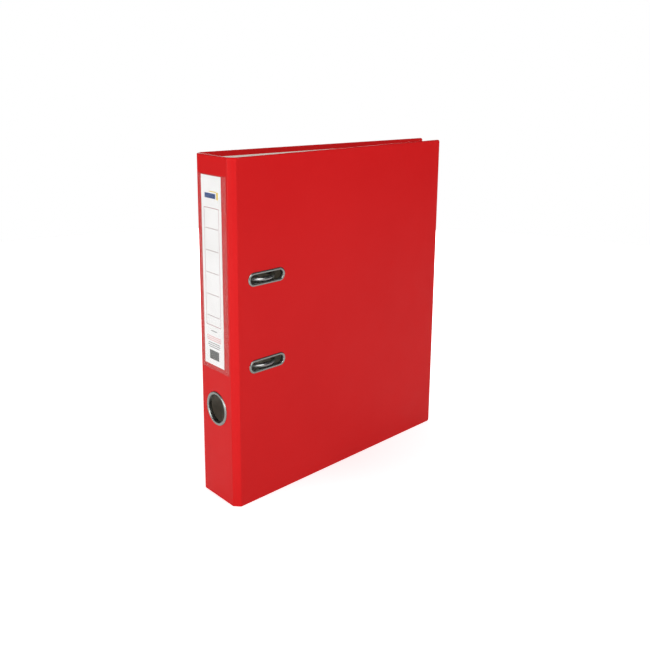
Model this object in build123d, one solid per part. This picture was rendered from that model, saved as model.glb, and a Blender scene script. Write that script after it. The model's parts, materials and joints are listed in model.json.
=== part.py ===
from build123d import *
import math
import os

# Lever arch file, closed and standing on its bottom edges. Millimetres, +Z up.
# The sizes below are laid out with x = 0 at the middle of the spine, y = 0 on the spine's outer
# face and z = 0 under the case. The back cover is at -X and the front cover at +X.
# Every piece is then shifted so that the origin is the middle of the bottom of the whole file.

# ---------------------------------------------------------------- case
case_height = 318.0
cover_depth = 279.5  # from the cover's crease to its fore edge
spine_width = 47.0
hinge_width = 7.8  # scored strip between the spine and each cover
hinge_turn = 45.0  # turn at the crease between the spine and each strip, degrees
rear_cover_turn = 45.0  # turn at the back cover's crease, degrees
front_cover_turn = 51.0  # the empty file's front cover leans inwards

board_thickness = 1.9
foil_thickness = 0.25
turn_in = 5.0  # foil showing round the lining
crease_gap = 0.2  # outer foil to the crease line
crease_clearance = 0.105  # left between the boards' inner corners where the case is folded
corner_radius = 2.5
panel_thickness = board_thickness + 2 * foil_thickness
sharpest_turn = max(hinge_turn, rear_cover_turn, front_cover_turn)
crease_set_back = panel_thickness * math.tan(math.radians(sharpest_turn / 2)) + crease_clearance

# ---------------------------------------------------------------- finger ring
ring_height = 88.5
ring_bore_radius = 13.0
ring_rim = 3.0  # flange beyond the bore
ring_flange_thickness = 1.0
ring_wall = 0.8
ring_roundness = 0.8  # rounding of the flange's rim, as a share of its thickness
washer_thickness = 0.6
eyelet_clearance = 0.1  # metal barrels in the holes of the panels

# ---------------------------------------------------------------- label pocket and card
pocket_margin = 2.0  # bare foil at each side of the pocket
pocket_bottom = 125.0
pocket_height = 176.5
pocket_film = 0.2
pocket_gap = 0.45
pocket_side_weld = 1.5
pocket_bottom_weld = 4.5
card_width = 31.0
card_height = 171.0
card_thickness = 0.25
card_offset = -1.5  # middle of the card from the middle of the spine

# ---------------------------------------------------------------- slots in the front cover
slot_pitch = 80.0
slot_centre_height = 171.0
slot_from_crease = 33.2  # middle of the slot along the cover
slot_length = 38.5
slot_height = 7.9
slot_rim = 2.4
slot_flange_thickness = 0.8
slot_wall = 0.5
slot_roundness = 0.7  # rounding of the flange's rim, as a share of its thickness

# ---------------------------------------------------------------- ring mechanism
mechanism_drop = 1.5  # arches below the middles of the slots
plate_thickness = 1.0
plate_beyond_arch = 32.0
plate_before_shaft = 6.5
plate_width = 50.0
plate_corner = 6.0
rivet_inset = 6.0
rivet_radius = 1.5
rivet_head_lap = 2.0  # head beyond the shank
rivet_head_height = 0.8
rivet_roundness = 0.8  # rounding of the head, as a share of its height
rivet_tail_lap = 1.3
rivet_tail_height = 0.7
rivet_clearance = 0.1

wire_radius = 2.0
arch_span = 35.0  # between the two legs of an arch
arch_flat = 0.2  # straight left at the top of an arch
arch_through_cover = 1.0  # top of an arch over the outside of the front cover
shaft_position = 19.6
shaft_bend = 4.0
crank_reach = 9.0
crank_below_roller = 7.0
crank_above_roller = 4.0
crank_bend = 3.0
running_clearance = 0.05

post_margin = 0.4  # post beyond the wire
post_height = 26.0
post_foot_lap = 1.6
post_foot_height = 1.2
post_shoulder = 0.8  # post beyond its spigot
tip_gap = 0.15  # between the cone on an arch's tip and the cup in its post

bearing_from_bend = 1.25
bearing_thickness = 2.0
bearing_wall = 1.6

lever_from_bearing = 9.75  # pivot to the bearing above it
lever_pin_radius = 1.5
roller_from_pivot = 11.0
roller_radius = 3.5
roller_side_gap = 0.2
roller_gap = 0.2  # roller over the crank
roller_pin_radius = 1.25
lug_from_shaft = 0.5
lever_inner_width = 9.6
lever_sheet = 1.2
grip_from_arch = 1.4
lever_under_axis = 2.5
lever_over_axis = 4.0
lever_nose_radius = 4.4
lug_gap = 0.8
lug_thickness = 1.2
lug_half_width = 4.0
lug_over_pivot = 3.0
pin_overhang = 0.6
lever_web_start = 15.5
lever_taper_start = 18.0
lever_taper_length = 8.0
lever_arm_depth = 2.6
grip_length = 15.0
grip_width = 16.0
grip_wall = 1.6
grip_under = 0.2  # underside of the grip over the pivot's height
grip_lip = 6.0
grip_lip_thickness = 3.8
grip_corner = 1.5

spring_length = 20.0
spring_wire = 0.8
spring_gap = 0.6  # coil round the shaft
spring_lift = 0.1  # coil over the plate
spring_from_bearing = 1.0
spring_legs = (5.4, 9.5)  # reach of its two ends from the shaft

compressor_beyond_post = 16.0
compressor_width = 15.0
compressor_sheet = 1.4
compressor_edge = 2.6
compressor_corner = 5.0
compressor_rest = 3.2
compressor_clearance = 0.3
clip_width = 2.6
clip_thickness = 0.5
clip_clearance = 0.12

cut_margin = 1.0  # cutters run this far past what they cut
same_place = 0.01  # edges this near to a place are on it

# ---------------------------------------------------------------- derived places
strip_side = hinge_width * math.sin(math.radians(hinge_turn))
strip_rise = hinge_width * math.cos(math.radians(hinge_turn))
back_face = -spine_width / 2 - strip_side
cover_start = strip_rise
inside_face = back_face + panel_thickness
plate_start = shaft_position - plate_before_shaft
post_position = shaft_position + arch_span
arch_centre_position = shaft_position + arch_span / 2
arch_heights = (
    slot_centre_height - slot_pitch / 2 - mechanism_drop,
    slot_centre_height + slot_pitch / 2 - mechanism_drop,
)
mechanism_height = slot_centre_height - mechanism_drop

ring_flange_radius = ring_bore_radius + ring_rim
pocket_width = spine_width - 2 * pocket_margin
plate_length = slot_pitch + 2 * plate_beyond_arch
rivet_head_radius = rivet_radius + rivet_head_lap
rivet_tail_radius = rivet_radius + rivet_tail_lap
post_radius = wire_radius + post_margin
post_foot_radius = post_radius + post_foot_lap
post_spigot_radius = post_radius - post_shoulder
clip_radius = post_radius + clip_width
compressor_length = slot_pitch + 2 * compressor_beyond_post

spring_radius = wire_radius + spring_gap + spring_wire
shaft_height = plate_thickness + spring_lift + spring_radius
bearing_offset = slot_pitch / 2 - shaft_bend - bearing_from_bend - bearing_thickness / 2
bearing_inside = bearing_offset - bearing_thickness / 2
spring_start = bearing_inside - spring_from_bearing - spring_length
lever_pivot_offset = bearing_inside - lever_from_bearing
lever_pivot_height = shaft_height + wire_radius + roller_gap + roller_radius
lever_length = lever_pivot_offset + slot_pitch / 2 - wire_radius - grip_from_arch - grip_wall
lug_reach = lever_inner_width / 2 + lever_sheet + lug_gap + lug_thickness
lever_middle = shaft_position + wire_radius + lug_from_shaft + lug_reach
roller_offset = lever_pivot_offset - roller_from_pivot
roller_length = lever_inner_width - 2 * roller_side_gap
crank_low = roller_offset - crank_below_roller
crank_high = roller_offset + crank_above_roller

front_lean = math.radians(hinge_turn + front_cover_turn - 90.0)
cover_face_at_arch = -back_face - (arch_centre_position - cover_start) * math.tan(front_lean)
arch_top = cover_face_at_arch + arch_through_cover - wire_radius - inside_face

origin_x = -rivet_head_height / 2
origin_y = (cover_start + cover_depth - ring_flange_thickness) / 2


# ---------------------------------------------------------------- helpers
def block(x_range, y_range, z_range):
    """A box between three pairs of limits."""
    size = [high - low for low, high in (x_range, y_range, z_range)]
    middle = [(high + low) / 2 for low, high in (x_range, y_range, z_range)]
    return Pos(*middle) * Box(*size)


def around(middle, size):
    """The pair of limits of a length about its middle."""
    return (middle - size / 2, middle + size / 2)


def rod(start, end, radius):
    """A round bar between two points."""
    run = Vector(*end) - Vector(*start)
    plane = Plane(origin=start, z_dir=run)
    return Solid.make_cylinder(radius, run.length, plane)


def above(height):
    """x at a height over the inside of the back cover."""
    return inside_face + height


def along(offset):
    """z at an offset from the middle of the mechanism."""
    return mechanism_height + offset


def save(name, shape):
    """Writes one sub-part in the file's frame."""
    placed = Pos(-origin_x, -origin_y, 0) * shape
    placed.label = name
    export_step(placed, f"parts/{name}.step")


# ---------------------------------------------------------------- the five panels
# Each panel is built flat: u runs along its width, t inwards from its outer face, z up.
# They follow each other from the back cover's fore edge, round the spine, to the front's.
def panel_places():
    """Name, start, heading in degrees, width, and which end is a free edge."""
    names = ("back_cover", "rear_hinge", "spine", "front_hinge", "front_cover")
    widths = (cover_depth, hinge_width, spine_width, hinge_width, cover_depth)
    turns = (rear_cover_turn, hinge_turn, hinge_turn, front_cover_turn, 0.0)
    x = back_face
    y = cover_start + cover_depth
    heading = -90.0
    places = []
    for name, width, turn in zip(names, widths, turns):
        places.append((name, (x, y), heading, width))
        x += width * math.cos(math.radians(heading))
        y += width * math.sin(math.radians(heading))
        heading += turn
    return places


def stadium(length, height, depth):
    """A slot-shaped plate, lying in u and z about the origin, from t = 0 inwards."""
    outline = Plane.XZ.offset(-depth) * SlotOverall(length, height)
    return extrude(outline, depth)


def round_hole(u, z, radius):
    """A cutter for a round hole through a panel."""
    return rod((u, -cut_margin, z), (u, panel_thickness + cut_margin, z), radius)


def panel_cutters(name, width):
    """The holes through all the layers of one panel, in the panel's own u, t and z."""
    if name == "spine":
        barrel = ring_bore_radius + ring_wall
        return [round_hole(width / 2, ring_height, barrel + eyelet_clearance)]
    if name == "back_cover":
        fore_edge = cover_start + cover_depth
        radius = rivet_radius + rivet_clearance
        return [round_hole(fore_edge - y, z, radius) for y, z in rivet_places()]
    if name == "front_cover":
        grow = 2 * (slot_wall + eyelet_clearance)
        depth = panel_thickness + 2 * cut_margin
        hole = stadium(slot_length + grow, slot_height + grow, depth)
        return [Pos(slot_from_crease, -cut_margin, z) * hole for z in slot_heights()]
    return []


def rounded_ends(shape, name, width, inset):
    """Rounds the corners of a cover at its fore edge."""
    if not name.endswith("cover"):
        return shape
    free = inset if name == "back_cover" else width - inset
    across = shape.edges().filter_by(Axis.Y)
    corners = [edge for edge in across if abs(edge.center().X - free) < same_place]
    return fillet(corners, corner_radius - inset)


def panel_layers(name, width):
    """Board, foil and lining of one panel, in the panel's own u, t and z."""
    back = name == "back_cover"
    front = name == "front_cover"
    t = panel_thickness
    f = foil_thickness
    top = case_height
    outer = (0.0 if back else crease_gap, width - (0.0 if front else crease_gap))
    inner = (0.0 if back else crease_set_back, width - (0.0 if front else crease_set_back))
    board_u = (inner[0] + (f if back else 0), inner[1] - (f if front else 0))
    lining_u = (inner[0] + (turn_in if back else 0), inner[1] - (turn_in if front else 0))

    board = block(board_u, (f, t - f), (0, top - f))
    lining = block(lining_u, (t - f, t), (turn_in, top - turn_in))
    sheet = block(outer, (0, f), (0, top))
    wrap = block(inner, (0, t), (0, top))
    board = rounded_ends(board, name, width, f)
    sheet = rounded_ends(sheet, name, width, 0.0)
    wrap = rounded_ends(wrap, name, width, 0.0)
    window_bottom = turn_in if back or front else -cut_margin
    bare = block(lining_u, (t - f, t), (window_bottom, top - turn_in))
    foil = sheet + (wrap - board - bare)
    layers = {"board": board, "foil": foil, "lining": lining}
    for cutter in panel_cutters(name, width):
        layers = {key: shape - cutter for key, shape in layers.items()}
    return layers


def place_on(panel, shape):
    """Moves a shape from a panel's own u, t and z to the file."""
    name, start, heading, width = panel
    return Pos(start[0], start[1], 0) * Rot(0, 0, heading) * shape


def make_panels():
    for panel in panel_places():
        for layer, shape in panel_layers(panel[0], panel[3]).items():
            save(f"{panel[0]}_{layer}", place_on(panel, shape))


# ---------------------------------------------------------------- metalwork in the case
def slot_heights():
    return (slot_centre_height - slot_pitch / 2, slot_centre_height + slot_pitch / 2)


def make_slot_eyelets():
    """A rim outside with a barrel through the cover, and a washer inside."""
    front = panel_places()[4]
    barrel_length = slot_length + 2 * slot_wall
    barrel_height = slot_height + 2 * slot_wall
    rim_length = slot_length + 2 * slot_rim
    rim_height = slot_height + 2 * slot_rim
    flange = Pos(0, -slot_flange_thickness, 0) * stadium(rim_length, rim_height, slot_flange_thickness)
    edges = flange.edges().group_by(Axis.Y)[0]
    flange = fillet(edges, slot_flange_thickness * slot_roundness)
    depth = panel_thickness + washer_thickness
    barrel = stadium(barrel_length, barrel_height, depth)
    through_depth = slot_flange_thickness + depth + 2 * cut_margin
    through = stadium(slot_length, slot_height, through_depth)
    through = Pos(0, -slot_flange_thickness - cut_margin, 0) * through
    rim = flange + barrel - through
    washer = Pos(0, panel_thickness, 0) * stadium(rim_length, rim_height, washer_thickness)
    hole = stadium(barrel_length, barrel_height, washer_thickness + 2 * cut_margin)
    washer -= Pos(0, panel_thickness - cut_margin, 0) * hole
    for name, z in zip(("lower", "upper"), slot_heights()):
        at = Pos(slot_from_crease, 0, z)
        save(f"{name}_slot_eyelet", place_on(front, at * rim))
        save(f"{name}_slot_washer", place_on(front, at * washer))


def make_finger_ring():
    """A rolled rim outside the spine with a barrel through it, and a washer inside."""
    depth = panel_thickness + washer_thickness
    barrel = ring_bore_radius + ring_wall
    flange = rod((0, -ring_flange_thickness, 0), (0, 0, 0), ring_flange_radius)
    rim = flange.edges().group_by(Axis.Y)[0]
    flange = fillet(rim, ring_flange_thickness * ring_roundness)
    ring = flange + rod((0, 0, 0), (0, depth, 0), barrel)
    outside = -ring_flange_thickness - cut_margin
    ring -= rod((0, outside, 0), (0, depth + cut_margin, 0), ring_bore_radius)
    washer = rod((0, panel_thickness, 0), (0, depth, 0), ring_flange_radius)
    washer -= rod((0, panel_thickness - cut_margin, 0), (0, depth + cut_margin, 0), barrel)
    save("finger_ring", Pos(0, 0, ring_height) * ring)
    save("finger_ring_washer", Pos(0, 0, ring_height) * washer)


def make_label():
    """A film welded down at its sides and bottom, open at the top, and the card in it."""
    front = -pocket_gap - pocket_film
    top = pocket_bottom + pocket_height
    film = block(around(0, pocket_width), (front, 0), (pocket_bottom, top))
    inside = pocket_width - 2 * pocket_side_weld
    card_bottom = pocket_bottom + pocket_bottom_weld
    film -= block(around(0, inside), (-pocket_gap, cut_margin), (card_bottom, top + cut_margin))
    slack = (pocket_gap - card_thickness) / 2
    card = block(
        around(card_offset, card_width),
        (-slack - card_thickness, -slack),
        (card_bottom, card_bottom + card_height),
    )
    save("label_pocket", film)
    save("label_card", card)


# ---------------------------------------------------------------- base plate and its rivets
def rivet_places():
    """y and z of the four rivets."""
    reach = plate_length / 2 - rivet_inset
    return [
        (y, along(offset))
        for y in (plate_start + rivet_inset, plate_start + plate_width - rivet_inset)
        for offset in (-reach, reach)
    ]


def post_places():
    return [(post_position, z) for z in arch_heights]


def bearing_lug(offset):
    """A lug standing on the plate with a hole for the arches' shaft."""
    radius = wire_radius + bearing_wall
    ends = [along(end) for end in around(offset, bearing_thickness)]
    axis = (above(shaft_height), shaft_position)
    lug = rod((*axis, ends[0]), (*axis, ends[1]), radius)
    lug += block((above(0), axis[0]), around(shaft_position, 2 * radius), ends)
    return lug


def lever_lug(side):
    """A lug beside the lever with a hole for the lever's pin."""
    inner = lever_middle + side * (lever_inner_width / 2 + lever_sheet + lug_gap)
    sides = sorted((inner, inner + side * lug_thickness))
    pivot = (above(lever_pivot_height), along(lever_pivot_offset))
    lug = rod((pivot[0], sides[0], pivot[1]), (pivot[0], sides[1], pivot[1]), lug_half_width)
    lug += block((above(0), pivot[0]), sides, around(pivot[1], 2 * lug_half_width))
    return lug


def make_base_plate():
    outline = block(
        (above(0), above(plate_thickness)),
        (plate_start, plate_start + plate_width),
        around(mechanism_height, plate_length),
    )
    plate = fillet(outline.edges().filter_by(Axis.X), plate_corner)
    for offset in (-bearing_offset, bearing_offset):
        plate += bearing_lug(offset)
    for side in (-1, 1):
        plate += lever_lug(side)
    shaft = (above(shaft_height), shaft_position)
    hole = wire_radius + running_clearance
    plate -= rod((*shaft, along(-plate_length)), (*shaft, along(plate_length)), hole)
    plate -= lever_axle(lever_pin_radius, plate_width)
    under = above(-cut_margin)
    over = above(plate_thickness + cut_margin)
    for y, z in rivet_places():
        plate -= rod((under, y, z), (over, y, z), rivet_radius)
    for y, z in post_places():
        plate -= rod((under, y, z), (over, y, z), post_spigot_radius)
    save("base_plate", plate)


def make_rivets():
    """A low domed head outside the back cover, a shank, and a flat tail on the plate."""
    rivets = []
    for y, z in rivet_places():
        head = rod((back_face - rivet_head_height, y, z), (back_face, y, z), rivet_head_radius)
        head = fillet(head.edges().group_by(Axis.X)[0], rivet_head_height * rivet_roundness)
        top = above(plate_thickness)
        shank = rod((back_face, y, z), (top, y, z), rivet_radius)
        tail = rod((top, y, z), (top + rivet_tail_height, y, z), rivet_tail_radius)
        rivets.append(head + shank + tail)
    save("plate_rivets", rivets[0] + rivets[1:])


# ---------------------------------------------------------------- posts and arches
def tip_cone(base_radius, depth, y, z):
    """A cone pointing down from the top of a post."""
    plane = Plane(origin=(above(post_height - depth), y, z), z_dir=(1, 0, 0))
    return Solid.make_cone(0.0, base_radius, depth, plane)


def make_posts():
    for name, (y, z) in zip(("lower", "upper"), post_places()):
        foot = above(plate_thickness)
        post = rod((foot, y, z), (above(post_height), y, z), post_radius)
        post += rod((foot, y, z), (foot + post_foot_height, y, z), post_foot_radius)
        post += rod((above(0), y, z), (foot, y, z), post_spigot_radius)
        cup = wire_radius + tip_gap
        post -= tip_cone(cup, cup, y, z)
        save(f"{name}_post", post)


def make_arches():
    """One bent wire: both arches, the shaft between them and the crank in its middle."""
    low, high = arch_heights
    tip = above(post_height + tip_gap)
    top = above(arch_top)
    shaft = above(shaft_height)
    near = shaft_position
    crank = shaft_position + crank_reach
    bend = (arch_span - arch_flat) / 2
    points = [
        (tip, post_position, low),
        (top, post_position, low),
        (top, near, low),
        (shaft, near, low),
        (shaft, near, along(crank_low)),
        (shaft, crank, along(crank_low)),
        (shaft, crank, along(crank_high)),
        (shaft, near, along(crank_high)),
        (shaft, near, high),
        (top, near, high),
        (top, post_position, high),
        (tip, post_position, high),
    ]
    corners = [bend, bend, shaft_bend, *[crank_bend] * 4, shaft_bend, bend, bend]
    path = FilletPolyline(*points, radius=corners)
    section = Plane(origin=points[0], z_dir=(1, 0, 0)) * Circle(wire_radius)
    wire = sweep(section, path=path)
    for z in arch_heights:
        plane = Plane(origin=(tip - wire_radius, post_position, z), z_dir=(1, 0, 0))
        wire += Solid.make_cone(0.0, wire_radius, wire_radius, plane)
    save("arch_wire", wire)


def make_spring():
    """The coil that pushes the arches open, as a sleeve round the shaft with its two legs."""
    shaft = (above(shaft_height), shaft_position)
    ends = (along(-spring_start - spring_length), along(-spring_start))
    sleeve = rod((*shaft, ends[0]), (*shaft, ends[1]), spring_radius)
    height = above(shaft_height - spring_radius + spring_wire / 2)
    for z, reach in zip((ends[0] + spring_wire / 2, ends[1] - spring_wire / 2), spring_legs):
        end = shaft_position + reach
        sleeve += rod((height, shaft_position, z), (height, end, z), spring_wire / 2)
    bore = (ends[0] - cut_margin, ends[1] + cut_margin)
    sleeve -= rod((*shaft, bore[0]), (*shaft, bore[1]), spring_radius - spring_wire)
    save("arch_spring", sleeve)


# ---------------------------------------------------------------- lever
def lever_axle(radius, length):
    """A bar on the lever's pivot."""
    x = above(lever_pivot_height)
    z = along(lever_pivot_offset)
    ends = around(lever_middle, length)
    return rod((x, ends[0], z), (x, ends[1], z), radius)


def roller_axle(radius, length):
    """A bar on the roller's axis."""
    x = above(lever_pivot_height)
    z = along(roller_offset)
    ends = around(lever_middle, length)
    return rod((x, ends[0], z), (x, ends[1], z), radius)


def lever_end():
    """z of the lever's free end."""
    return along(lever_pivot_offset - lever_length)


def lever_hollow(z_range, top):
    """A cutter between the two cheeks, up to a height."""
    low = above(lever_pivot_height - 2 * lever_nose_radius)
    return block((low, top), around(lever_middle, lever_inner_width), z_range)


def make_lever():
    """A channel of sheet steel: two cheeks at the pivot and roller, and a web along the arm."""
    outer_width = lever_inner_width + 2 * lever_sheet
    axis = above(lever_pivot_height)
    top = axis + lever_over_axis
    pivot = along(lever_pivot_offset)
    beyond = pivot + 2 * lever_nose_radius
    below = lever_end() - cut_margin
    y_range = around(lever_middle, outer_width)
    body = block((axis - lever_under_axis, top), y_range, (lever_end(), pivot))
    body += lever_axle(lever_nose_radius, outer_width)
    body -= lever_hollow((below, beyond), top - lever_sheet)
    body -= lever_hollow((pivot - lever_web_start, beyond), top + lever_nose_radius)
    taper_start = pivot - lever_taper_start
    taper_end = taper_start - lever_taper_length
    deep = axis - lever_under_axis - cut_margin
    shallow = top - lever_arm_depth
    outline = [(deep, taper_start), (shallow, taper_end), (shallow, below), (deep, below)]
    taper = make_face(Polyline(*[(x, lever_middle, z) for x, z in outline], close=True))
    body -= extrude(taper, amount=outer_width, both=True)
    body -= lever_axle(lever_pin_radius + running_clearance, plate_width)
    body -= roller_axle(roller_pin_radius, plate_width)
    save("lever", body)
    return body


def make_lever_grip(lever):
    """The moulded finger end, pushed over the end of the arm, with a raised lip."""
    low = above(lever_pivot_height + grip_under)
    top = above(lever_pivot_height + lever_over_axis) + grip_wall
    end = lever_end() - grip_wall
    y_range = around(lever_middle, grip_width)
    grip = block((low, top), y_range, (end, end + grip_length))
    grip += block((low, top + grip_lip), y_range, (end, end + grip_lip_thickness))
    grip = fillet(grip.edges().filter_by(Axis.X), grip_corner)
    grip -= lever
    hollow = (end + grip_wall, end + grip_length + cut_margin)
    grip -= lever_hollow(hollow, top - grip_wall - lever_sheet)
    save("lever_grip", grip)


def make_lever_fittings():
    save("lever_pin", lever_axle(lever_pin_radius, 2 * (lug_reach + pin_overhang)))
    save("roller_pin", roller_axle(roller_pin_radius, lever_inner_width + 2 * lever_sheet))
    roller = roller_axle(roller_radius, roller_length)
    roller -= roller_axle(roller_pin_radius + running_clearance, roller_length + 2 * cut_margin)
    save("roller", roller)


# ---------------------------------------------------------------- compressor
def make_compressor():
    """A bar that slides on the two posts and holds the papers down, with a clip at each post."""
    rest = above(compressor_rest)
    sheet_top = rest + compressor_sheet
    over = rest + compressor_edge + cut_margin
    y_range = around(post_position, compressor_width)
    bar = block((rest, rest + compressor_edge), y_range, around(mechanism_height, compressor_length))
    bar = fillet(bar.edges().filter_by(Axis.X), compressor_corner)
    trough = around(post_position, compressor_width - 2 * compressor_sheet)
    trough_length = compressor_length - 2 * compressor_corner
    bar -= block((sheet_top, over), trough, around(mechanism_height, trough_length))
    clips = []
    for y, z in post_places():
        bar -= rod((rest - cut_margin, y, z), (over, y, z), post_radius + compressor_clearance)
        clip = rod((sheet_top, y, z), (sheet_top + clip_thickness, y, z), clip_radius)
        clip -= rod((rest, y, z), (over, y, z), post_radius + clip_clearance)
        clips.append(clip)
    save("compressor_bar", bar)
    save("compressor_clips", clips[0] + clips[1:])


os.makedirs("parts", exist_ok=True)
make_panels()
make_slot_eyelets()
make_finger_ring()
make_label()
make_base_plate()
make_rivets()
make_posts()
make_arches()
make_spring()
make_lever_grip(make_lever())
make_lever_fittings()
make_compressor()
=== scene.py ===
import json
import math

import bmesh
import bpy
from mathutils import Matrix, Vector


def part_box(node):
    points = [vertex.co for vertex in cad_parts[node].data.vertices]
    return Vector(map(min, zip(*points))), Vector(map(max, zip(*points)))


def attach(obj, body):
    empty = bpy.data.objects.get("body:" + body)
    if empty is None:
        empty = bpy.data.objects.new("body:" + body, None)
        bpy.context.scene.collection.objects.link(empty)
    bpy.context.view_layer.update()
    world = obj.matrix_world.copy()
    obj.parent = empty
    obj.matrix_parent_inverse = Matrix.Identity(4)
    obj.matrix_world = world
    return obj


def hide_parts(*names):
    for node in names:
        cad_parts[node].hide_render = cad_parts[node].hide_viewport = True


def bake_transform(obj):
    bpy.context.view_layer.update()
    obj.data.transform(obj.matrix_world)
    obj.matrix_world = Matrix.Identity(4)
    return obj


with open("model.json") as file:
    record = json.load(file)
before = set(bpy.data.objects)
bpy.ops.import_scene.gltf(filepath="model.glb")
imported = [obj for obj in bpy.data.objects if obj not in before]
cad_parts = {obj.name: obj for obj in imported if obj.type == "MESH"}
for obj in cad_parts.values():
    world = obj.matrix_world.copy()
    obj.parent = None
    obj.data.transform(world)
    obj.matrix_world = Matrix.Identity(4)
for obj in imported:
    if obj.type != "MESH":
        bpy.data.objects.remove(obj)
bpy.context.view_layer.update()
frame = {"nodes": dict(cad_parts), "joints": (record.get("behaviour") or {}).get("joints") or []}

# Lever arch file in metres, in the CAD model's frame. The front cover is at +X, the spine at -Y.
MM = 0.001

# ------------------------------------------------------------------ sizes of the visual pieces
foil_edge = 1.0 * MM  # rounding of the wrapped boards, outside
foil_inner_edge = 0.8 * MM
foil_skin = 0.22 * MM
lining_paper = 0.1 * MM
turn_in = 5.0 * MM
corner_radius = 2.5 * MM
crease_reach = 2.0 * MM  # half of the bent strip, along the outside
crease_radius = 1.5 * MM
crease_inner_radius = 0.7 * MM
board_inset = 0.3 * MM
board_edge = 0.6 * MM
board_inner_edge = 0.5 * MM
lining_corner = 0.6 * MM
lining_edges = (0.04 * MM, 0.05 * MM)
arc_steps = 6
normal_weight = 80

ring_bore = 13.0 * MM
ring_rim = 3.0 * MM
ring_wall = 0.8 * MM
ring_height = 1.0 * MM
slot_length = 38.5 * MM
slot_height = 7.9 * MM
slot_rim = 2.4 * MM
slot_wall = 0.5 * MM
slot_crown = 0.8 * MM
hole_clearance = 0.1 * MM
washer = 0.6 * MM
rivet_head = 3.5 * MM
rivet_hole = 1.6 * MM

pocket_film = 0.2 * MM
pocket_gap = 0.45 * MM
side_weld = 1.5 * MM
bottom_weld = 3.5 * MM
weld_rise = 0.9 * MM
film_share = 0.98  # keeps the film just clear of the foil

spring_wire = 0.4 * MM
spring_turns = 18.5
spring_leg = 1.6  # reach of the free leg, in radii of the coil

# ------------------------------------------------------------------ the case, from the frame
joints = {joint["name"]: joint for joint in frame["joints"]}
crease_names = (
    "rear_cover_crease",
    "rear_spine_crease",
    "front_spine_crease",
    "front_cover_crease",
)
panel_names = ("back_cover", "rear_hinge", "spine", "front_hinge", "front_cover")
panel_bodies = ("case_back", "rear_hinge", "spine", "front_hinge", "front_cover")
creases = [Vector(joints[name]["pos_m"][:2]) for name in crease_names]

back_low, back_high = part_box("back_cover_foil")
case_height = back_high.z
panel_thickness = back_high.x - back_low.x
wrapped = panel_thickness - lining_paper
cover_depth = back_high.y - creases[0].y
turns = [joints[name]["range_deg"][1] for name in crease_names]


def panel_frames():
    """Start, heading, inward normal and width of each panel, from the back's fore edge round."""
    starts = [Vector((creases[0].x, creases[0].y + cover_depth)), *creases]
    angle = -math.pi / 2
    frames = []
    for index, start in enumerate(starts):
        along = Vector((math.cos(angle), math.sin(angle)))
        inward = Vector((-along.y, along.x))
        width = (starts[index + 1] - start).length if 0 < index < 4 else cover_depth
        frames.append((start, along, inward, width))
        if index < 4:
            angle += math.radians(turns[index])
    return frames


frames = dict(zip(panel_names, panel_frames()))


def place(panel, u, t, z):
    """A point of a panel: u along it, t inwards from its outer face, z up."""
    start, along, inward, _ = frames[panel]
    flat = start + along * u + inward * t
    return Vector((flat.x, flat.y, z))


# ------------------------------------------------------------------ mesh helpers
def new_object(name, bm, smooth_angle=35.0):
    """A finished mesh object with even shading on its flat faces."""
    bmesh.ops.recalc_face_normals(bm, faces=bm.faces)
    mesh = bpy.data.meshes.new(name)
    bm.to_mesh(mesh)
    bm.free()
    mesh.shade_smooth()
    mesh.set_sharp_from_angle(angle=math.radians(smooth_angle))
    obj = bpy.data.objects.new(name, mesh)
    bpy.context.scene.collection.objects.link(obj)
    return obj


def bake_modifiers(obj):
    """Turns an object's modifiers into its own mesh."""
    depsgraph = bpy.context.evaluated_depsgraph_get()
    mesh = bpy.data.meshes.new_from_object(obj.evaluated_get(depsgraph))
    old = obj.data
    obj.modifiers.clear()
    obj.data = mesh
    bpy.data.meshes.remove(old)
    mesh.name = obj.name


def weigh_normals(obj):
    modifier = obj.modifiers.new("normals", "WEIGHTED_NORMAL")
    modifier.keep_sharp = True
    modifier.weight = normal_weight
    bake_modifiers(obj)


def edge_steps(thickness, outer_radius, inner_radius):
    """Insets and depths round a wrapped edge, from the outer face to the inner one."""
    steps = []
    for step in range(arc_steps + 1):
        angle = math.pi / 2 * step / arc_steps
        steps.append((outer_radius * (1 - math.sin(angle)), outer_radius * (1 - math.cos(angle))))
    for step in range(arc_steps + 1):
        angle = math.pi / 2 * step / arc_steps
        depth = thickness - inner_radius * (1 - math.sin(angle))
        steps.append((inner_radius * (1 - math.cos(angle)), depth))
    return steps


def panel_outline(u_range, z_range, inset, radius, free_end):
    """Corner points of a panel in u and z. Only its free end, top and bottom are inset."""
    u_low = u_range[0] + (inset if free_end == "low" else 0)
    u_high = u_range[1] - (inset if free_end == "high" else 0)
    z_low, z_high = z_range[0] + inset, z_range[1] - inset
    corners = ((u_low, z_low, 180, "low"), (u_high, z_low, 270, "high"))
    corners += ((u_high, z_high, 0, "high"), (u_low, z_high, 90, "low"))
    points = []
    for u, z, start, end in corners:
        if end != free_end:
            points.append((u, z))
            continue
        r = max(radius - inset, 0.2 * MM)
        centre_u = u + r if end == "low" else u - r
        centre_z = z + r if z == z_low else z - r
        for step in range(arc_steps + 1):
            angle = math.radians(start + 90 * step / arc_steps)
            points.append((centre_u + r * math.cos(angle), centre_z + r * math.sin(angle)))
    return points


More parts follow.
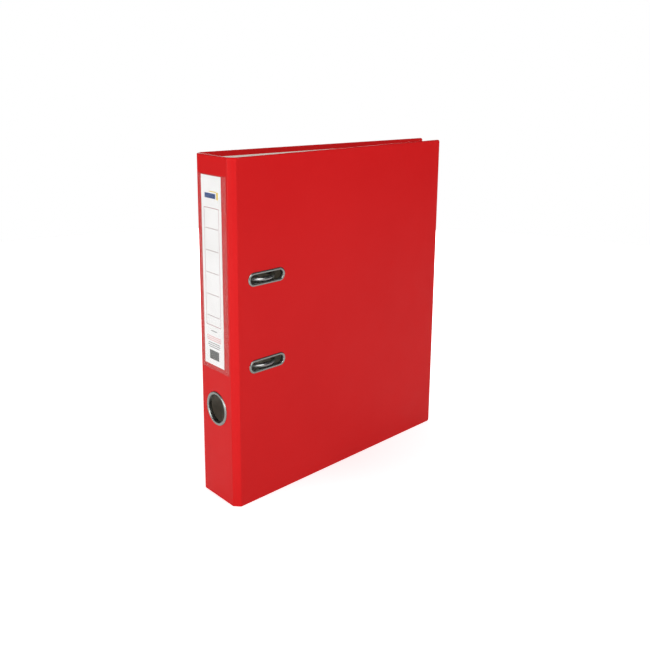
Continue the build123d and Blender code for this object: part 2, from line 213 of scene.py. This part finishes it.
def slab(panel, u_range, z_range, steps, t_start, holes, radius, free_end, open_ends):
    """A plate on a panel with rounded edges and holes. Its crease ends may be left open."""
    bm = bmesh.new()
    loops = []
    for inset, depth in steps:
        outline = panel_outline(u_range, z_range, inset, radius, free_end)
        loops.append([bm.verts.new(place(panel, u, t_start + depth, z)) for u, z in outline])
    flat = panel_outline(u_range, z_range, 0.0, radius, free_end)
    ends = [u for u, end in zip(u_range, ("low", "high")) if end != free_end]
    count = len(flat)
    for first, second in zip(loops, loops[1:]):
        for index in range(count):
            after = (index + 1) % count
            same = abs(flat[index][0] - flat[after][0]) < 1e-9
            if open_ends and same and any(abs(flat[index][0] - u) < 1e-9 for u in ends):
                continue
            bm.faces.new((first[index], first[after], second[after], second[index]))
    faces = []
    for loop, depth in ((loops[0], steps[0][1]), (loops[-1], steps[-1][1])):
        rings = [loop]
        for hole in holes:
            rings.append([bm.verts.new(place(panel, u, t_start + depth, z)) for u, z in hole])
        faces.append(rings)
        edges = []
        for ring in rings:
            for index, vert in enumerate(ring):
                after = ring[(index + 1) % len(ring)]
                edges.append(bm.edges.get((vert, after)) or bm.edges.new((vert, after)))
        bmesh.ops.triangle_fill(bm, edges=edges, use_beauty=True)
    if not open_ends:
        for first, second in zip(faces[0][1:], faces[1][1:]):
            for index in range(len(first)):
                after = (index + 1) % len(first)
                bm.faces.new((first[index], first[after], second[after], second[index]))
    return bm


def swept_ring(name, panel, path, profile):
    """A closed profile carried round a closed path on a panel. The profile holds offsets
    outwards from the path and heights over the panel's outer face."""
    bm = bmesh.new()
    rings = []
    for u, z, out_u, out_z in path:
        ring = [place(panel, u + out_u * r, -h, z + out_z * r) for r, h in profile]
        rings.append([bm.verts.new(point) for point in ring])
    close_rings(bm, rings, True)
    return new_object(name, bm, 40)


def close_rings(bm, rings, looped):
    """Faces between successive rings of points, and caps if the row of rings has ends."""
    pairs = list(zip(rings, rings[1:]))
    if looped:
        pairs.append((rings[-1], rings[0]))
    for first, second in pairs:
        for index in range(len(first)):
            after = (index + 1) % len(first)
            bm.faces.new((first[index], first[after], second[after], second[index]))
    if not looped:
        bm.faces.new(rings[0])
        bm.faces.new(rings[-1][::-1])


def tube(name, points, radius, sides=10):
    """A round wire along a row of points."""
    bm = bmesh.new()
    rings = []
    normal = (points[1] - points[0]).orthogonal().normalized()
    for index, point in enumerate(points):
        before = points[max(index - 1, 0)]
        after = points[min(index + 1, len(points) - 1)]
        run = (after - before).normalized()
        normal = (normal - run * normal.dot(run)).normalized()
        side = run.cross(normal)
        ring = []
        for step in range(sides):
            angle = 2 * math.pi * step / sides
            offset = normal * math.cos(angle) + side * math.sin(angle)
            ring.append(bm.verts.new(point + offset * radius))
        rings.append(ring)
    close_rings(bm, rings, False)
    return new_object(name, bm, 50)


def stadium(centre_u, centre_z, length, height, steps=20):
    """Points and outward directions round a slot."""
    radius = height / 2
    half = (length - height) / 2
    path = []
    for side, start in ((1, -90), (-1, 90)):
        for step in range(steps + 1):
            angle = math.radians(start + 180 * step / steps)
            out = (math.cos(angle), math.sin(angle))
            u = centre_u + side * half + radius * out[0]
            path.append((u, centre_z + radius * out[1], *out))
    return path


def circle(centre_u, centre_z, radius, steps=64):
    path = []
    for step in range(steps):
        angle = 2 * math.pi * step / steps
        out = (math.cos(angle), math.sin(angle))
        path.append((centre_u + radius * out[0], centre_z + radius * out[1], *out))
    return path


def grown(path, size):
    """The outline of a hole a little outside a path."""
    return [(u + out_u * size, z + out_z * size) for u, z, out_u, out_z in path]


# ------------------------------------------------------------------ materials
class Shader:
    """A Principled material and the nodes that feed it."""

    def __init__(self, name, color, roughness, metallic=0.0, **sockets):
        self.material = bpy.data.materials.new(name)
        self.material.use_nodes = True
        self.tree = self.material.node_tree
        self.tree.nodes.clear()
        output = self.node("ShaderNodeOutputMaterial")
        self.shader = self.node("ShaderNodeBsdfPrincipled")
        self.tree.links.new(self.shader.outputs[0], output.inputs["Surface"])
        self.coords = self.node("ShaderNodeTexCoord").outputs["Object"]
        self.feed(self.shader, "Base Color", (*color, 1.0))
        self.feed(self.shader, "Roughness", roughness)
        self.feed(self.shader, "Metallic", metallic)
        for key, value in sockets.items():
            self.feed(self.shader, key.replace("_", " "), value)

    def node(self, kind, inputs=(), **settings):
        node = self.tree.nodes.new(kind)
        for key, value in settings.items():
            setattr(node, key, value)
        for key, value in dict(inputs).items():
            self.feed(node, key, value)
        return node

    def feed(self, node, key, value):
        if isinstance(value, bpy.types.NodeSocket):
            self.tree.links.new(value, node.inputs[key])
        else:
            node.inputs[key].default_value = value

    def stretched(self, scale):
        mapping = self.node("ShaderNodeMapping", {"Vector": self.coords, "Scale": scale})
        return mapping.outputs[0]

    def noise(self, scale, detail=3.0, vector=None, rough=0.5):
        inputs = {"Vector": vector or self.coords, "Scale": scale, "Detail": detail}
        inputs["Roughness"] = rough
        return self.node("ShaderNodeTexNoise", inputs).outputs["Fac"]

    def remap(self, value, low, high, from_low=0.3, from_high=0.7):
        inputs = {"Value": value, "From Min": from_low, "From Max": from_high}
        inputs.update({"To Min": low, "To Max": high})
        return self.node("ShaderNodeMapRange", inputs).outputs[0]

    def math(self, operation, *values):
        return self.node("ShaderNodeMath", dict(enumerate(values)), operation=operation).outputs[0]

    def mix(self, factor, first, second):
        node = self.node("ShaderNodeMix", data_type="RGBA")
        self.feed(node, 0, factor)
        for index, color in ((6, first), (7, second)):
            linked = isinstance(color, bpy.types.NodeSocket)
            self.feed(node, index, color if linked else (*color, 1.0))
        return node.outputs[2]

    def bump(self, height, strength, distance, normal=None):
        inputs = {"Height": height, "Strength": strength, "Distance": distance}
        if normal is not None:
            inputs["Normal"] = normal
        return self.node("ShaderNodeBump", inputs).outputs[0]

    def surface(self, key, value):
        self.feed(self.shader, key, value)


def foil_material():
    """Satin polypropylene foil: faint grain, slow waviness and slightly uneven gloss."""
    foil = Shader("red_foil", (0.60, 0.010, 0.011), 0.42, IOR=1.45, Specular_IOR_Level=0.13)
    tone = foil.remap(foil.noise(9.0, 3.0), 0.0, 1.0)
    fleck = foil.remap(foil.noise(900.0, 2.0), 0.0, 1.0)
    color = foil.mix(tone, (0.585, 0.0085, 0.0095), (0.615, 0.0105, 0.0115))
    flecked = foil.mix(foil.math("MULTIPLY", fleck, 0.25), color, (0.53, 0.007, 0.008))
    foil.surface("Base Color", flecked)
    foil.surface("Roughness", foil.remap(foil.noise(55.0, 4.0), 0.36, 0.46))
    grain = foil.bump(foil.noise(1800.0, 2.0), 0.10, 0.05 * MM)
    foil.surface("Normal", foil.bump(foil.noise(14.0, 1.0), 0.25, 1.2 * MM, grain))
    return foil.material


def lining_material():
    """Uncoated lining paper with short fibres."""
    paper = Shader("lining_paper", (0.62, 0.58, 0.53), 0.85)
    fibres = paper.noise(1400.0, 4.0, paper.stretched((1.0, 1.0, 0.35)), 0.65)
    cloud = paper.remap(paper.noise(35.0, 3.0), 0.0, 1.0)
    color = paper.mix(cloud, (0.82, 0.79, 0.71), (0.87, 0.84, 0.76))
    fibre = paper.remap(fibres, 0.0, 0.35)
    paper.surface("Base Color", paper.mix(fibre, color, (0.70, 0.665, 0.59)))
    paper.surface("Normal", paper.bump(fibres, 0.25, 0.06 * MM))
    return paper.material


def board_material():
    """Recycled grey board."""
    board = Shader("grey_board", (0.30, 0.27, 0.23), 0.9)
    fibres = board.noise(900.0, 5.0, board.stretched((1.0, 1.0, 0.5)), 0.7)
    tone = board.remap(fibres, 0.0, 1.0)
    board.surface("Base Color", board.mix(tone, (0.24, 0.215, 0.18), (0.36, 0.33, 0.29)))
    board.surface("Normal", board.bump(fibres, 0.4, 0.1 * MM))
    return board.material


def metal_material(name, color, rough_low, rough_high, streak=(1.0, 1.0, 1.0), dull=0.85):
    """Plated steel with fine, slightly duller streaks and cloudy gloss."""
    metal = Shader(name, color, rough_high, 1.0)
    streaks = metal.noise(2600.0, 3.0, metal.stretched(streak))
    cloud = metal.noise(90.0, 4.0)
    metal.surface("Roughness", metal.remap(cloud, rough_low, rough_high))
    worn = tuple(channel * dull for channel in color)
    metal.surface("Base Color", metal.mix(metal.remap(streaks, 0.0, 0.7), color, worn))
    metal.surface("Normal", metal.bump(streaks, 0.08, 0.02 * MM))
    return metal.material


def plastic_material():
    """Moulded black plastic with a fine spark-eroded texture."""
    plastic = Shader("grip_plastic", (0.014, 0.014, 0.016), 0.45)
    grain = plastic.noise(2400.0, 3.0, rough=0.6)
    plastic.surface("Roughness", plastic.remap(plastic.noise(120.0, 3.0), 0.38, 0.55))
    tone = plastic.remap(grain, 0.0, 1.0)
    plastic.surface("Base Color", plastic.mix(tone, (0.011, 0.011, 0.012), (0.02, 0.02, 0.022)))
    plastic.surface("Normal", plastic.bump(grain, 0.3, 0.04 * MM))
    return plastic.material


def film_material():
    """Clear pocket film: mostly see-through, with a milky veil and slight ripples."""
    film = Shader("clear_film", (0.50, 0.47, 0.45), 0.16, Alpha=0.08, Specular_IOR_Level=0.25)
    veil = film.noise(40.0, 3.0)
    film.surface("Alpha", film.remap(veil, 0.06, 0.09))
    film.surface("Roughness", film.remap(film.noise(70.0, 2.0), 0.12, 0.22))
    film.surface("Normal", film.bump(film.noise(28.0, 1.0), 0.3, 0.5 * MM))
    return film.material


def label_material():
    """White card with a plain printed form: a frame, five rules, plain bars and a grey block."""
    low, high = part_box("label_card")
    middle = (low.x + high.x) / 2
    card = Shader("label_paper", (0.90, 0.90, 0.89), 0.55)
    parts = card.node("ShaderNodeSeparateXYZ", {"Vector": card.coords}).outputs
    x, z = parts["X"], parts["Z"]
    across = card.math("SUBTRACT", x, middle)
    down = card.math("SUBTRACT", high.z, z)

    def patch(centre, depth, width, height):
        """1 inside a rectangle given by its middle across, depth below the top, and size."""
        inside = card.math("COMPARE", across, centre * MM, width / 2 * MM)
        beside = card.math("COMPARE", down, depth * MM, height / 2 * MM)
        return card.math("MULTIPLY", inside, beside)

    def together(patches):
        total = patches[0]
        for item in patches[1:]:
            total = card.math("MAXIMUM", total, item)
        return total

    form_top, form_bottom, form_half = 28.0, 134.0, 11.4
    rules = [patch(0, form_top, 2 * form_half, 0.5), patch(0, form_bottom, 2 * form_half, 0.5)]
    middle_depth = (form_top + form_bottom) / 2
    for side in (-1, 1):
        rules.append(patch(side * form_half, middle_depth, 0.4, form_bottom - form_top))
    first_line, line_pitch, line_inset = 46.0, 19.8, 3.0
    lines = []
    for row in range(5):
        lines.append(patch(0, first_line + line_pitch * row, 2 * form_half - line_inset, 0.5))
    grey = [patch(0, 139.0, 9.0, 0.8)]
    grey += [patch(0, 150.5 + 1.9 * row, width, 0.7) for row, width in enumerate((18, 20, 17))]
    pink = [patch(0, 144.5 + 1.7 * row, 2 * form_half, 0.7) for row in range(3)]
    block = [patch(0, 161.5, 15.0, 8.5)]
    blue = [patch(-1.6, 17.4, 17.0, 4.4)]
    yellow = [patch(9.6, 16.9, 2.6, 6.4), patch(2.6, 13.6, 11.0, 0.8)]
    fibres = card.noise(1500.0, 4.0, rough=0.6)
    color = card.mix(card.remap(fibres, 0.0, 1.0), (0.95, 0.95, 0.945), (0.985, 0.985, 0.98))
    inks = (
        (rules, (0.42, 0.13, 0.15)),
        (lines, (0.34, 0.20, 0.21)),
        (grey, (0.22, 0.22, 0.22)),
        (pink, (0.80, 0.38, 0.38)),
        (block, (0.10, 0.11, 0.11)),
        (blue, (0.002, 0.05, 0.22)),
        (yellow, (0.85, 0.60, 0.004)),
    )
    for patches, ink in inks:
        color = card.mix(together(patches), color, ink)
    card.surface("Base Color", color)
    card.surface("Normal", card.bump(fibres, 0.15, 0.03 * MM))
    return card.material


materials = {
    "red_foil": foil_material(),
    "lining_paper": lining_material(),
    "grey_board": board_material(),
    "zinc_steel": metal_material("zinc_steel", (0.62, 0.63, 0.65), 0.26, 0.40, (1.0, 1.0, 0.05)),
    "nickel_steel": metal_material("nickel_steel", (0.33, 0.33, 0.325), 0.22, 0.34),
    "ring_metal": metal_material("ring_metal", (0.33, 0.36, 0.34), 0.20, 0.32),
    "spring_steel": metal_material("spring_steel", (0.36, 0.36, 0.38), 0.30, 0.42),
    "clear_film": film_material(),
    "label_paper": label_material(),
    "grip_plastic": plastic_material(),
}


def finish_piece(obj, body, slot, *nodes):
    """Material, body and the CAD nodes a piece stands for."""
    obj.data.materials.clear()
    obj.data.materials.append(materials[slot])
    if nodes:
        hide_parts(*nodes)
    if body:
        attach(obj, body)
    return obj


# ------------------------------------------------------------------ the five wrapped panels
def rivet_centres():
    low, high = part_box("plate_rivets")
    ys = (low.y + rivet_head, high.y - rivet_head)
    zs = (low.z + rivet_head, high.z - rivet_head)
    fore_edge = creases[0].y + cover_depth
    return [(fore_edge - y, z) for y in ys for z in zs]


def slot_centres():
    """u along the front cover, and z, of the two slots."""
    start, along, _, _ = frames["front_cover"]
    centres = []
    for name in ("lower_slot_eyelet", "upper_slot_eyelet"):
        low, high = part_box(name)
        u = ((low.y + high.y) / 2 - start.y) / along.y
        centres.append((u, (low.z + high.z) / 2))
    return centres


def ring_centre():
    low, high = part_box("finger_ring")
    return ((low.x + high.x) / 2 - frames["spine"][0].x, (low.z + high.z) / 2)


slot_paths = [stadium(u, z, slot_length, slot_height) for u, z in slot_centres()]
ring_path = circle(*ring_centre(), ring_bore)


def panel_holes(panel):
    if panel == "spine":
        return [grown(ring_path, ring_wall + hole_clearance)]
    if panel == "front_cover":
        return [grown(path, slot_wall + hole_clearance) for path in slot_paths]
    if panel == "back_cover":
        return [grown(circle(u, z, rivet_hole, 20), 0.0) for u, z in rivet_centres()]
    return []


def make_panel(panel, body):
    """Foil skin, board and lining of one panel."""
    width = frames[panel][3]
    free_end = {"back_cover": "low", "front_cover": "high"}.get(panel, "")
    low = 0.0 if free_end == "low" else crease_reach
    high = width - (0.0 if free_end == "high" else crease_reach)
    holes = panel_holes(panel)
    full = (0.0, case_height)

    steps = edge_steps(wrapped, foil_edge, foil_inner_edge)
    bm = slab(panel, (low, high), full, steps, 0.0, holes, corner_radius, free_end, True)
    foil = new_object(f"{panel}_foil_skin", bm)
    solid = foil.modifiers.new("skin", "SOLIDIFY")
    solid.thickness = foil_skin
    solid.offset = -1.0
    solid.use_even_offset = True
    bake_modifiers(foil)
    weigh_normals(foil)
    finish_piece(foil, body, "red_foil", f"{panel}_foil")

    steps = edge_steps(wrapped - 2 * board_inset, board_edge, board_inner_edge)
    board_low = low + (board_inset if free_end == "low" else 0.0)
    board_high = high - (board_inset if free_end == "high" else 0.0)
    inside = (board_inset, case_height - board_inset)
    across = (board_low, board_high)
    bm = slab(
        panel, across, inside, steps, board_inset, holes, corner_radius, free_end, False
    )
    board = new_object(f"{panel}_grey_board", bm)
    weigh_normals(board)
    finish_piece(board, body, "grey_board", f"{panel}_board")

    steps = edge_steps(lining_paper, *lining_edges)
    lining_low = low + (turn_in if free_end == "low" else 0.0)
    lining_high = high - (turn_in if free_end == "high" else 0.0)
    window = (turn_in, case_height - turn_in)
    across = (lining_low, lining_high)
    bm = slab(panel, across, window, steps, wrapped, holes, lining_corner, free_end, False)
    lining = new_object(f"{panel}_lining_sheet", bm)
    weigh_normals(lining)
    finish_piece(lining, body, "lining_paper", f"{panel}_lining")


for panel_name, panel_body in zip(panel_names, panel_bodies):
    make_panel(panel_name, panel_body)


# ------------------------------------------------------------------ the four creases
def bend_path(corner, before, after, reach, radius, turn):
    """Points along a rounded corner, from a reach before it to a reach after it."""
    tangent = min(radius * math.tan(turn / 2), reach * 0.9)
    centre_radius = tangent / math.tan(turn / 2)
    inward = Vector((-before.y, before.x))
    centre = corner - before * tangent + inward * centre_radius
    points = [corner - before * reach]
    for step in range(arc_steps + 3):
        angle = turn * step / (arc_steps + 2)
        out = -inward
        spun = Vector((out.x * math.cos(angle) - out.y * math.sin(angle),
                       out.x * math.sin(angle) + out.y * math.cos(angle)))
        points.append(centre + spun * centre_radius)
    points.append(corner + after * reach)
    return points


def crease_piece(name, index, t_low, t_high, z_range, radii):
    """The strip of a crease between two depths, as thick as the wrapped board or its lining."""
    corner = creases[index]
    _, before, inward_before, _ = frames[panel_names[index]]
    _, after, inward_after, _ = frames[panel_names[index + 1]]
    turn = math.radians(turns[index])
    shorter = panel_thickness * math.tan(turn / 2)
    bisector = (inward_before + inward_after).normalized()
    inner_corner = corner + bisector * panel_thickness / math.cos(turn / 2)
    inner_reach = crease_reach - shorter
    outer = bend_path(corner, before, after, crease_reach, crease_radius, turn)
    inner = bend_path(inner_corner, before, after, inner_reach, crease_inner_radius, turn)
    profile = []
    for inset, depth in edge_steps(t_high - t_low, *radii):
        profile.append((t_low + depth, z_range[1] - inset))
    for inset, depth in reversed(edge_steps(t_high - t_low, *radii)):
        profile.append((t_low + depth, z_range[0] + inset))
    bm = bmesh.new()
    rings = []
    for out_point, in_point in zip(outer, inner):
        ring = []
        for t, z in profile:
            flat = out_point.lerp(in_point, t / panel_thickness)
            ring.append(bm.verts.new((flat.x, flat.y, z)))
        rings.append(ring)
    close_rings(bm, rings, False)
    obj = new_object(name, bm)
    weigh_normals(obj)
    return obj


for crease_index, crease_name in enumerate(crease_names):
    foil_radii = (foil_edge, foil_inner_edge)
    full_height = (0.0, case_height)
    wrap = crease_piece(f"{crease_name}_wrap", crease_index, 0.0, wrapped, full_height, foil_radii)
    window_height = (turn_in, case_height - turn_in)
    paper = crease_piece(
        f"{crease_name}_lining", crease_index, wrapped, panel_thickness, window_height, lining_edges
    )
    for strip, strip_slot in ((wrap, "red_foil"), (paper, "lining_paper")):
        finish_piece(strip, "", strip_slot)
        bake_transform(strip)


# ------------------------------------------------------------------ eyelets
def rolled_eyelet(rim, crown, wall, depth):
    """Section of an eyelet: a rolled crown over the face, and its barrel through the board."""
    section = []
    for step in range(13):
        angle = math.pi * step / 12
        height = crown * math.sin(angle) ** 0.7 if 0 < step < 12 else 0.0
        section.append((rim / 2 * (1 - math.cos(angle)), height))
    section += [(wall, 0.0), (wall, -depth + 0.15 * MM), (wall * 0.7, -depth), (wall * 0.3, -depth)]
    section.append((0.0, -depth + 0.15 * MM))
    return section


def inner_washer(rim, wall):
    """Section of the flat ring on the inside of the panel."""
    top, bottom = -panel_thickness - washer, -panel_thickness
    soft = 0.15 * MM
    section = [(wall, bottom), (rim, bottom), (rim, top + soft), (rim - soft, top)]
    section += [(wall + soft, top), (wall, top + soft)]
    return section


eyelet_depth = panel_thickness + washer
for eyelet_name, slot_path in zip(("lower_slot", "upper_slot"), slot_paths):
    section = rolled_eyelet(slot_rim, slot_crown, slot_wall, eyelet_depth)
    eyelet = swept_ring(f"{eyelet_name}_rim", "front_cover", slot_path, section)
    finish_piece(eyelet, "front_cover", "ring_metal", f"{eyelet_name}_eyelet")
    section = inner_washer(slot_rim, slot_wall)
    back_ring = swept_ring(f"{eyelet_name}_back_ring", "front_cover", slot_path, section)
    finish_piece(back_ring, "front_cover", "ring_metal", f"{eyelet_name}_washer")

section = rolled_eyelet(ring_rim, ring_height, ring_wall, eyelet_depth)
finger_ring = swept_ring("finger_ring_rim", "spine", ring_path, section)
finish_piece(finger_ring, "spine", "ring_metal", "finger_ring")
section = inner_washer(ring_rim, ring_wall)
finger_back = swept_ring("finger_ring_back_ring", "spine", ring_path, section)
finish_piece(finger_back, "spine", "ring_metal", "finger_ring_washer")


# ------------------------------------------------------------------ label pocket
def smooth_step(value):
    value = min(max(value, 0.0), 1.0)
    return value * value * (3 - 2 * value)


def make_pocket():
    """Film welded down at its sides and foot, standing off over the card, open at the top."""
    low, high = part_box("label_pocket")
    face = creases[1].y
    across = [0.0, side_weld * 0.5, side_weld]
    across += [side_weld + weld_rise * step / 4 for step in range(1, 5)]
    width = high.x - low.x
    across += [across[-1] + (width / 2 - across[-1]) * step / 8 for step in range(1, 9)]
    across += [width - value for value in reversed(across[:-1])]
    up = [0.0, bottom_weld * 0.5, bottom_weld]
    up += [bottom_weld + weld_rise * step / 4 for step in range(1, 5)]
    height = high.z - low.z
    up += [up[-1] + (height - up[-1]) * step / 24 for step in range(1, 25)]
    bm = bmesh.new()
    rows = []
    for rise in up:
        row = []
        for value in across:
            side = smooth_step((min(value, width - value) - side_weld) / weld_rise)
            foot = smooth_step((rise - bottom_weld) / weld_rise)
            lift = pocket_film + pocket_gap * side * foot
            row.append(bm.verts.new((low.x + value, face - lift, low.z + rise)))
        rows.append(row)
    for first, second in zip(rows, rows[1:]):
        for index in range(len(first) - 1):
            bm.faces.new((first[index], first[index + 1], second[index + 1], second[index]))
    pocket = new_object("label_pocket_film", bm)
    if pocket.data.polygons[0].normal.y > 0:
        pocket.data.flip_normals()
    solid = pocket.modifiers.new("film", "SOLIDIFY")
    solid.thickness = pocket_film * film_share
    solid.offset = -1.0
    bake_modifiers(pocket)
    finish_piece(pocket, "spine", "clear_film", "label_pocket")


make_pocket()


# ------------------------------------------------------------------ spring
def make_spring():
    """A wound torsion spring on the arches' shaft, with a leg at each end."""
    low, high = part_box("arch_spring")
    outer = (high.x - low.x) / 2
    axis_x, axis_y = (high.x + low.x) / 2, low.y + outer
    coil = outer - spring_wire
    points = [Vector((axis_x - coil, high.y - spring_wire, low.z + spring_wire))]
    start, end = low.z + spring_wire, high.z - spring_wire
    per_turn = 28
    count = round(spring_turns * per_turn)
    for step in range(count + 1):
        angle = 2 * math.pi * step / per_turn
        z = start + (end - start) * step / count
        points.append(Vector((axis_x - coil * math.cos(angle), axis_y - coil * math.sin(angle), z)))
    points.append(Vector((axis_x + coil, axis_y + spring_leg * outer, end)))
    spring = tube("arch_spring_coil", points, spring_wire, 10)
    finish_piece(spring, "case_back", "spring_steel", "arch_spring")


make_spring()

# ------------------------------------------------------------------ carried-over CAD nodes
carried = {
    "zinc_steel": ("base_plate", "compressor_bar"),
    "nickel_steel": (
        "plate_rivets",
        "lower_post",
        "upper_post",
        "arch_wire",
        "lever",
        "lever_pin",
        "roller_pin",
    ),
    "spring_steel": ("compressor_clips",),
    "grip_plastic": ("lever_grip", "roller"),
    "label_paper": ("label_card",),
}
for slot_name, node_names in carried.items():
    for node_name in node_names:
        node = frame["nodes"][node_name]
        node.data.materials.clear()
        node.data.materials.append(materials[slot_name])


# ------------------------------------------------------------------ floor, light and camera
floor_radius = 1.3
floor_drop = 0.0001
world_strength = 0.09


def make_floor():
    """A pale disc that glows a little, and looks brighter still to the camera, to stay white."""
    floor = Shader("pale_floor", (0.93, 0.93, 0.93), 0.9)
    floor.surface("Roughness", floor.remap(floor.noise(6.0), 0.85, 0.95))
    length = floor.node("ShaderNodeVectorMath", {0: floor.coords}, operation="LENGTH")
    distance = length.outputs["Value"]
    floor.surface("Emission Color", (1.0, 1.0, 1.0, 1.0))
    glow = floor.remap(distance, 0.10, 0.50, 0.0, 1.0)
    shown = floor.remap(distance, 0.42, 1.10, 0.0, 1.0)
    seen = floor.node("ShaderNodeLightPath").outputs["Is Camera Ray"]
    floor.surface("Emission Strength", floor.math("ADD", glow, floor.math("MULTIPLY", seen, shown)))
    bm = bmesh.new()
    bmesh.ops.create_circle(bm, cap_ends=True, segments=96, radius=floor_radius)
    obj = new_object("floor", bm)
    obj.location.z = -floor_drop
    obj.data.materials.append(floor.material)


def make_light(name, place_at, target, size, power):
    data = bpy.data.lights.new(name, "AREA")
    data.shape = "DISK"
    data.size = size
    data.energy = power
    light = bpy.data.objects.new(name, data)
    bpy.context.scene.collection.objects.link(light)
    light.location = place_at
    direction = Vector(target) - Vector(place_at)
    light.rotation_euler = direction.to_track_quat("-Z", "Y").to_euler()


def make_world():
    """Dim white studio light, and plain white behind the object."""
    world = bpy.data.worlds.new("studio")
    bpy.context.scene.world = world
    world.use_nodes = True
    tree = world.node_tree
    tree.nodes.clear()
    output = tree.nodes.new("ShaderNodeOutputWorld")
    background = tree.nodes.new("ShaderNodeBackground")
    white = tree.nodes.new("ShaderNodeBackground")
    mix = tree.nodes.new("ShaderNodeMixShader")
    path = tree.nodes.new("ShaderNodeLightPath")
    for shader, strength in ((background, world_strength), (white, 1.0)):
        shader.inputs["Color"].default_value = (1.0, 1.0, 1.0, 1.0)
        shader.inputs["Strength"].default_value = strength
    tree.links.new(path.outputs["Is Camera Ray"], mix.inputs[0])
    tree.links.new(background.outputs[0], mix.inputs[1])
    tree.links.new(white.outputs[0], mix.inputs[2])
    tree.links.new(mix.outputs[0], output.inputs["Surface"])


def make_camera():
    yaw, pitch, roll = 0.86965, 0.23884, -0.00976
    focal, frame_size = 853.95, 650.0
    centre = (328.39, 275.0)
    level = math.cos(pitch)
    look = Vector((-math.sin(yaw) * level, math.cos(yaw) * level, -math.sin(pitch)))
    right = Vector((math.cos(yaw), math.sin(yaw), 0.0))
    down = look.cross(right)
    rolled_right = right * math.cos(roll) + down * math.sin(roll)
    rolled_down = down * math.cos(roll) - right * math.sin(roll)
    data = bpy.data.cameras.new("camera")
    data.sensor_width = 36.0
    data.lens = data.sensor_width * focal / frame_size
    data.shift_x = (frame_size / 2 - centre[0]) / frame_size
    data.shift_y = (centre[1] - frame_size / 2) / frame_size
    data.clip_start, data.clip_end = 0.01, 100.0
    camera = bpy.data.objects.new("camera", data)
    bpy.context.scene.collection.objects.link(camera)
    rows = Matrix((rolled_right, -rolled_down, -look)).transposed()
    camera.matrix_world = Matrix.Translation((0.61991, -0.53389, 0.39130)) @ rows.to_4x4()
    bpy.context.scene.camera = camera


make_floor()
make_world()
middle = (0.0, 0.0, 0.16)
make_light("front_box", (1.38, -0.12, 0.86), middle, 1.0, 15.2)
make_light("spine_box", (0.02, -1.20, 0.20), (0.0, 0.0, 0.08), 0.8, 9.2)
make_light("rear_fill", (-1.25, 0.60, 0.60), middle, 1.2, 13.0)
make_camera()
bpy.context.scene.view_settings.view_transform = "Standard"
